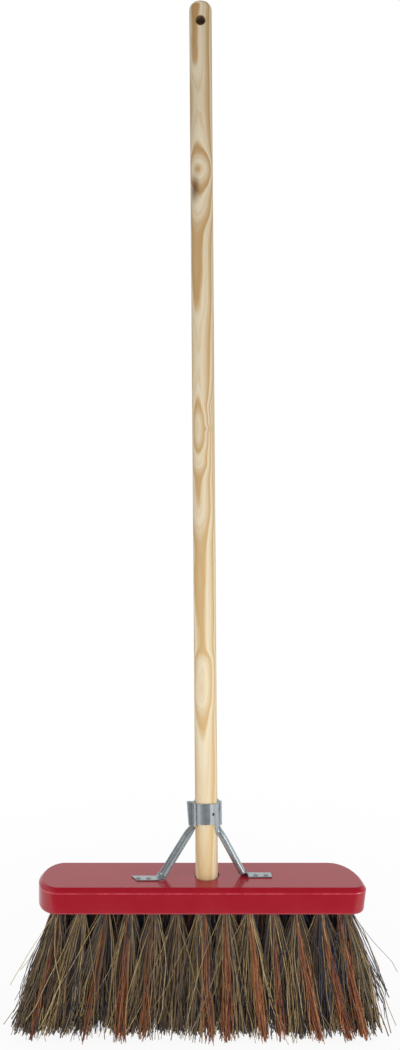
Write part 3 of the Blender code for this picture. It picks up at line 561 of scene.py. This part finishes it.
# Two small knots push the rings aside, and the upper one is dark
knot_shade = 0
for knot_place, knot_reach, push, darkness in (
    ((-0.0086, -0.0110, 1.0255), (0.0060, 0.0070, 0.0150), 0.22, 0.88),
    ((0.0075, -0.0118, 0.7285), (0.0065, 0.0060, 0.0042), -0.55, 0.10),
):
    offset = add_node(tree, "ShaderNodeVectorMath", {0: place, 1: knot_place}, operation="SUBTRACT")
    offset = add_node(tree, "ShaderNodeVectorMath", {0: offset, 1: knot_reach}, operation="DIVIDE")
    offset = add_node(tree, "ShaderNodeVectorMath", {0: offset}, operation="LENGTH")
    near = add_node(tree, "ShaderNodeMapRange", {
        "Value": offset, "From Min": 0, "From Max": 1.6, "To Min": 1, "To Max": 0,
    }, interpolation_type="SMOOTHSTEP")
    year = add_node(tree, "ShaderNodeMath", {0: near, 1: push, 2: year}, operation="MULTIPLY_ADD")
    knot_shade = add_node(tree, "ShaderNodeMath", {
        0: near, 1: darkness, 2: knot_shade,
    }, operation="MULTIPLY_ADD")

season = add_node(tree, "ShaderNodeMath", {0: year}, operation="FRACT")
late_share = add_node(tree, "ShaderNodeValToRGB", {"Fac": season})
ramp = late_share.color_ramp.elements
late_wood_shares = ((0, 0.45), (0.05, 0.12), (0.12, 0.0), (0.35, 0.14), (0.6, 0.55), (0.8, 0.88),
                    (0.93, 1.0), (1, 0.55))
while len(ramp) < len(late_wood_shares):
    ramp.new(1)
for element, (position, share) in zip(ramp, late_wood_shares):
    element.position = position
    element.color = (share, share, share, 1)
late_wood = add_node(tree, "ShaderNodeMix", {
    0: down, 6: hex_colour("#dcba80"), 7: hex_colour("#c29452"),
}, data_type="RGBA")
wood = add_node(tree, "ShaderNodeMix", {
    0: late_share, 6: hex_colour("#efdfbf"), 7: late_wood,
}, data_type="RGBA")
# Between the wide rings, fine darker lines follow the same course
lines_per_ring = 3.3
fine = add_node(tree, "ShaderNodeMath", {0: year, 1: lines_per_ring}, operation="MULTIPLY")
fine = add_node(tree, "ShaderNodeMath", {0: fine}, operation="FRACT")
fine = add_node(tree, "ShaderNodeMapRange", {
    "Value": fine, "From Min": 0.55, "From Max": 0.95, "To Min": 0, "To Max": 0.28,
}, interpolation_type="SMOOTHSTEP")
wood = add_node(tree, "ShaderNodeMix", {0: fine, 6: wood, 7: late_wood}, data_type="RGBA")
wood = add_node(tree, "ShaderNodeMix", {0: knot_shade, 6: wood, 7: hex_colour("#6a4215")}, data_type="RGBA")
# The hanging hole lays end grain bare, and its wall is painted dark: painted shade inside the hole
hole_axis = (hole_x, 0, pole_high - hanging_hole_drop)
hole_shade_start, hole_shade_end = 0.0057, 0.0070
hole_wall_shade = add_node(tree, "ShaderNodeTexCoord").outputs["Object"]
hole_wall_shade = add_node(tree, "ShaderNodeVectorMath", {0: hole_wall_shade, 1: hole_axis}, operation="SUBTRACT")
hole_wall_shade = add_node(tree, "ShaderNodeVectorMath", {0: hole_wall_shade, 1: (1, 0, 1)}, operation="MULTIPLY")
hole_wall_shade = add_node(tree, "ShaderNodeVectorMath", {0: hole_wall_shade}, operation="LENGTH")
hole_wall_shade = add_node(tree, "ShaderNodeMapRange", {
    "Value": hole_wall_shade, "From Min": hole_shade_start, "From Max": hole_shade_end, "To Min": 0.8, "To Max": 0,
}, interpolation_type="SMOOTHSTEP")
# Painted shade: the bored wall takes a dark brown
wood = add_node(tree, "ShaderNodeMix", {0: hole_wall_shade, 6: wood, 7: hex_colour("#7c6040")}, data_type="RGBA")
# The upper part is painted darker, a painted shade for light that fades up the pole, and the sanded grain
# shows as fine streaks
streak_place = add_node(tree, "ShaderNodeMapping", {
    "Vector": place, "Scale": (1 / streak_width, 1 / streak_width, 1 / streak_length),
})
streak = add_node(tree, "ShaderNodeTexNoise", {"Vector": streak_place, "Scale": 1, "Detail": 3})
streak_shade = add_node(tree, "ShaderNodeMapRange", {
    "Value": streak, "From Min": 0.3, "From Max": 0.7, "To Min": 0.94, "To Max": 1.04,
})
# Painted shade: the colour darkens from low on the pole to its top
painted_top_shade = add_node(tree, "ShaderNodeMapRange", {
    "Value": axes["Z"], "From Min": 0.40, "From Max": 1.25, "To Min": 0.93, "To Max": 0.665,
})
shade = add_node(tree, "ShaderNodeMath", {0: streak_shade, 1: painted_top_shade}, operation="MULTIPLY")
colour = add_node(tree, "ShaderNodeVectorMath", {0: wood, "Scale": shade}, operation="SCALE")
tree.links.new(colour.outputs[0], shader.inputs["Base Color"])
sanding = add_node(tree, "ShaderNodeMapRange", {"Value": streak, "To Min": 0.48, "To Max": 0.66})
tree.links.new(sanding.outputs[0], shader.inputs["Roughness"])
no_shine = add_node(tree, "ShaderNodeMath", {0: hole_wall_shade, 1: -0.6, 2: 0.5}, operation="MULTIPLY_ADD")
tree.links.new(no_shine.outputs[0], shader.inputs["Specular IOR Level"])
fuzz = add_node(tree, "ShaderNodeBump", {"Height": streak, "Distance": fuzz_height, "Strength": 0.3})
tree.links.new(fuzz.outputs[0], shader.inputs["Normal"])

# The pole is turned finer here than in the solids, with short rows of faces round its hanging hole
pole_sides, round_steps = 64, 8
long_rows, long_row = 53, 0.02
short_rows, short_row, short_rows_start = 17, 0.002, 1.045
pole_foot = pole_low - stock_top
outline = [(0, pole_foot), (handle_radius - end_chamfer, pole_foot), (handle_radius, pole_foot + end_chamfer)]
row_heights = [long_row * step for step in range(long_rows)]
row_heights += [short_rows_start + short_row * step for step in range(short_rows)]
outline += [(handle_radius, height) for height in row_heights if height < pole_length - top_round]
for step in range(round_steps + 1):
    angle = math.radians(90) * step / round_steps
    outline.append((handle_radius - top_round * (1 - math.cos(angle)),
                    pole_length - top_round * (1 - math.sin(angle))))
outline.append((0, pole_length))
lean_turn = Matrix.Translation((foot_x, 0, stock_top)) @ Matrix.Rotation(-lean_angle, 4, "Y")
shell = bmesh.new()
loops = []
for radius, height in outline:
    sides = 1 if radius == 0 else pole_sides
    loops.append([shell.verts.new(lean_turn @ Vector((
        radius * math.cos(2 * math.pi * side / pole_sides),
        radius * math.sin(2 * math.pi * side / pole_sides), height))) for side in range(sides)])
for lower, upper in zip(loops, loops[1:]):
    for side in range(pole_sides):
        after = (side + 1) % pole_sides
        corners = [lower[side % len(lower)], lower[after % len(lower)],
                   upper[after % len(upper)], upper[side % len(upper)]]
        shell.faces.new(list(dict.fromkeys(corners)))
bmesh.ops.recalc_face_normals(shell, faces=shell.faces)
pole_mesh = bpy.data.meshes.new("finished_handle")
shell.to_mesh(pole_mesh)
shell.free()
pole_mesh.materials.append(pine)
pole = bpy.data.objects.new("finished_handle", pole_mesh)
bpy.context.scene.collection.objects.link(pole)

# The hanging hole goes right through, and is opened a little where it comes out on both sides
hole_sides, drill_reach, straight_reach, opened_by = 32, 0.016, 0.0132, 0.0030
drill = bmesh.new()
rings = []
for depth, radius in (
    (-drill_reach, hanging_hole_radius + opened_by), (-straight_reach, hanging_hole_radius),
    (straight_reach, hanging_hole_radius), (drill_reach, hanging_hole_radius + opened_by),
):
    rings.append([drill.verts.new((
        hole_x + radius * math.cos(2 * math.pi * side / hole_sides), depth,
        stock_top + hole_height + radius * math.sin(2 * math.pi * side / hole_sides),
    )) for side in range(hole_sides)])
for near, far in zip(rings, rings[1:]):
    for side in range(hole_sides):
        after = (side + 1) % hole_sides
        drill.faces.new((near[side], near[after], far[after], far[side]))
drill.faces.new(rings[0])
drill.faces.new(rings[-1])
bmesh.ops.recalc_face_normals(drill, faces=drill.faces)
drill_mesh = bpy.data.meshes.new("hanging_hole_drill")
drill.to_mesh(drill_mesh)
drill.free()
drill_mesh.materials.append(pine)
drill_object = bpy.data.objects.new("hanging_hole_drill", drill_mesh)
bpy.context.scene.collection.objects.link(drill_object)
bore = pole.modifiers.new("hanging_hole", "BOOLEAN")
bore.object = drill_object
bore.solver = "EXACT"
pole.data = bpy.data.meshes.new_from_object(pole.evaluated_get(bpy.context.evaluated_depsgraph_get()))
pole.modifiers.clear()
bpy.data.objects.remove(drill_object)
for face in pole.data.polygons:
    face.use_smooth = True
pole.data.set_sharp_from_angle(angle=math.radians(40))
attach(pole, "root")
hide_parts("handle")

# Stay: two pressings of 1.2 mm mild steel, zinc plated and passivated before they were hooked together.
# The plating is blue-grey and half bright, with a faint bloom over fine marks of the press.
bloom_width, draw_mark_length, draw_mark_width, draw_mark_depth = 0.00625, 0.00333, 0.0004, 0.00008
zinc, tree, shader = new_material("zinc_plated_pressing")
place = add_node(tree, "ShaderNodeTexCoord").outputs["Object"]
bloom = add_node(tree, "ShaderNodeTexNoise", {"Vector": place, "Scale": 1 / bloom_width, "Detail": 4})
plating = add_node(tree, "ShaderNodeMix", {
    0: bloom, 6: hex_colour("#a5afb4"), 7: hex_colour("#bfc7ca"),
}, data_type="RGBA")
tree.links.new(plating.outputs[2], shader.inputs["Base Color"])
shader.inputs["Metallic"].default_value = 0.85
gloss = add_node(tree, "ShaderNodeMapRange", {
    "Value": bloom, "From Min": 0.3, "From Max": 0.7, "To Min": 0.34, "To Max": 0.46,
})
tree.links.new(gloss.outputs[0], shader.inputs["Roughness"])
draw_marks = add_node(tree, "ShaderNodeMapping", {
    "Vector": place, "Scale": (1 / draw_mark_length, 1 / draw_mark_length, 1 / draw_mark_width),
})
draw_marks = add_node(tree, "ShaderNodeTexNoise", {"Vector": draw_marks, "Scale": 1, "Detail": 2})
rolled = add_node(tree, "ShaderNodeBump", {
    "Height": draw_marks, "Distance": draw_mark_depth, "Strength": 0.25,
})
tree.links.new(rolled.outputs[0], shader.inputs["Normal"])
for name in ("stay_front_half", "stay_back_half"):
    smooth_copy(name, zinc, sharp_angle=32, flatness=50)

# Nails: drawn wire nails with pressed heads, hammered through the feet and the band.
# Bright steel, dulled by the hammer, with patches of a thin brown film of rust.
film_width, dint_depth = 0.001111, 0.0001
nail_steel, tree, shader = new_material("bright_wire_nail")
place = add_node(tree, "ShaderNodeTexCoord").outputs["Object"]
film = add_node(tree, "ShaderNodeTexNoise", {"Vector": place, "Scale": 1 / film_width, "Detail": 3})
film_share = add_node(tree, "ShaderNodeMapRange", {
    "Value": film, "From Min": 0.45, "From Max": 0.7, "To Min": 0, "To Max": 0.5,
})
steel = add_node(tree, "ShaderNodeMix", {
    0: film_share, 6: hex_colour("#ccd0d2"), 7: hex_colour("#b2aaa0"),
}, data_type="RGBA")
tree.links.new(steel.outputs[2], shader.inputs["Base Color"])
shader.inputs["Metallic"].default_value = 0.7
gloss = add_node(tree, "ShaderNodeMapRange", {"Value": film, "To Min": 0.55, "To Max": 0.75})
tree.links.new(gloss.outputs[0], shader.inputs["Roughness"])
dints = add_node(tree, "ShaderNodeBump", {"Height": film, "Distance": dint_depth, "Strength": 0.3})
tree.links.new(dints.outputs[0], shader.inputs["Normal"])
for foot in ("left", "right"):
    for place_on_foot in ("inner", "outer"):
        smooth_copy(f"foot_nail_{foot}_{place_on_foot}", nail_steel)

# The two nails through the band have smaller, sunk heads, painted darker
band_steel = nail_steel.copy()
band_steel.name = "darkened_wire_nail"
# Their steel takes darker grey colours
darkened_mix = next(node for node in band_steel.node_tree.nodes if node.bl_idname == "ShaderNodeMix")
darkened_mix.inputs[6].default_value = hex_colour("#555c5e")
darkened_mix.inputs[7].default_value = hex_colour("#38383a")
for name in ("band_nail_front", "band_nail_back"):
    smooth_copy(name, band_steel)

# Studio: white paper on the floor in a white room, with a low soft lamp at the front on each side.
# To the camera and in reflections the paper is white, but for a faint soft shadow round the broom.
paper, tree, shader = new_material("white_studio_paper")
shader.inputs["Base Color"].default_value = hex_colour("#f4f4f4")
shader.inputs["Roughness"].default_value = 0.9
rays = add_node(tree, "ShaderNodeLightPath").outputs
seen = add_node(tree, "ShaderNodeMath", {
    0: rays["Is Camera Ray"], 1: rays["Is Glossy Ray"],
}, operation="MAXIMUM")
seen = add_node(tree, "ShaderNodeMath", {0: seen, 1: rays["Is Transmission Ray"]}, operation="MAXIMUM")
floor_place = add_node(tree, "ShaderNodeTexCoord").outputs["Object"]
far = add_node(tree, "ShaderNodeVectorMath", {0: floor_place}, operation="LENGTH")
far = add_node(tree, "ShaderNodeMapRange", {
    "Value": far, "From Min": 0.2, "From Max": 0.9, "To Min": 0.90, "To Max": 1,
}, interpolation_type="SMOOTHSTEP")
near_edge = add_node(tree, "ShaderNodeSeparateXYZ", {0: floor_place}).outputs["Y"]
near_edge = add_node(tree, "ShaderNodeMapRange", {
    "Value": near_edge, "From Min": -0.27, "From Max": -0.12, "To Min": 1, "To Max": 0.90,
}, interpolation_type="SMOOTHSTEP")
far = add_node(tree, "ShaderNodeMath", {0: far, 1: near_edge}, operation="MAXIMUM")
seen = add_node(tree, "ShaderNodeMath", {0: seen, 1: far}, operation="MULTIPLY")
white = add_node(tree, "ShaderNodeEmission", {"Color": (1, 1, 1, 1), "Strength": 1})
mixed = add_node(tree, "ShaderNodeMixShader", {0: seen, 1: shader, 2: white})
tree.links.new(mixed.outputs[0], tree.nodes["Material Output"].inputs["Surface"])
floor_mesh = bpy.data.meshes.new("studio_floor")
half_width, front_edge, back_edge = 1.4, -0.28, 1.4
floor_mesh.from_pydata([
    (-half_width, front_edge, 0), (half_width, front_edge, 0), (half_width, back_edge, 0),
    (-half_width, back_edge, 0),
], [], [(0, 1, 2, 3)])
floor_mesh.materials.append(paper)
studio_floor = bpy.data.objects.new("studio_floor", floor_mesh)
bpy.context.scene.collection.objects.link(studio_floor)

world = bpy.data.worlds.new("white_room")
bpy.context.scene.world = world
world.use_nodes = True
tree = world.node_tree
tree.nodes.clear()
rays = add_node(tree, "ShaderNodeLightPath").outputs
facing = add_node(tree, "ShaderNodeTexCoord").outputs["Generated"]
# Gloss meets white paper behind and at both sides, and the dim room in front, low on the left and overhead
paper_side = add_node(tree, "ShaderNodeVectorMath", {0: facing, 1: (0.35, 0.93, 0)}, operation="DOT_PRODUCT")
paper_side = add_node(tree, "ShaderNodeMapRange", {
    "Value": paper_side, "From Min": -0.15, "From Max": 0.45, "To Min": 0.12, "To Max": 1,
}, interpolation_type="SMOOTHSTEP")
upward = add_node(tree, "ShaderNodeSeparateXYZ", {0: facing}).outputs["Z"]
ceiling = add_node(tree, "ShaderNodeMapRange", {
    "Value": upward, "From Min": 0.55, "From Max": 0.9, "To Min": 1, "To Max": 0.25,
}, interpolation_type="SMOOTHSTEP")
left_side = add_node(tree, "ShaderNodeVectorMath", {0: facing, 1: (-1, 0, 0)}, operation="DOT_PRODUCT")
left_side = add_node(tree, "ShaderNodeMapRange", {
    "Value": left_side, "From Min": 0.05, "From Max": 0.6, "To Min": 0, "To Max": 0.8,
}, interpolation_type="SMOOTHSTEP")
level = add_node(tree, "ShaderNodeMapRange", {
    "Value": upward, "From Min": -0.3, "From Max": 0.05, "To Min": 0.1, "To Max": 1,
}, interpolation_type="SMOOTHSTEP")
left_side = add_node(tree, "ShaderNodeMath", {0: left_side, 1: level}, operation="MULTIPLY")
room = add_node(tree, "ShaderNodeMath", {0: paper_side, 1: left_side}, operation="MAXIMUM")
room = add_node(tree, "ShaderNodeMath", {0: room, 1: ceiling}, operation="MULTIPLY")
in_front = add_node(tree, "ShaderNodeVectorMath", {0: facing, 1: (0, -1, 0)}, operation="DOT_PRODUCT")
horizon = add_node(tree, "ShaderNodeMapRange", {
    "Value": in_front, "From Min": -0.1, "From Max": 1, "To Min": 0.26, "To Max": 1.12,
})
sky_light = add_node(tree, "ShaderNodeMapRange", {
    "Value": upward, "From Min": 0, "From Max": 1, "To Min": horizon, "To Max": 1,
})
seen = add_node(tree, "ShaderNodeMath", {
    0: rays["Is Camera Ray"], 1: rays["Is Transmission Ray"],
}, operation="MAXIMUM")
light = add_node(tree, "ShaderNodeMix", {
    0: rays["Is Glossy Ray"], 2: sky_light, 3: room,
}, data_type="FLOAT")
light = add_node(tree, "ShaderNodeMix", {0: seen, 2: light, 3: 1}, data_type="FLOAT")
sky = add_node(tree, "ShaderNodeBackground", {"Color": (1, 1, 1, 1), "Strength": light})
add_node(tree, "ShaderNodeOutputWorld", {"Surface": sky})

lamp_size, lamp_aim = 0.8, Vector((0, 0, 0.2))
for name, lamp_place, watts in (
    ("lamp_left", Vector((-1.8, -0.9, 0.30)), 5), ("lamp_right", Vector((1.4, -1.3, 0.20)), 11),
):
    lamp_data = bpy.data.lights.new(name, "AREA")
    lamp_data.size = lamp_size
    lamp_data.energy = watts
    lamp = bpy.data.objects.new(name, lamp_data)
    lamp.location = lamp_place
    lamp.rotation_euler = (lamp_aim - lamp_place).to_track_quat("-Z", "Y").to_euler()
    bpy.context.scene.collection.objects.link(lamp)

bpy.context.scene.view_settings.view_transform = "Standard"
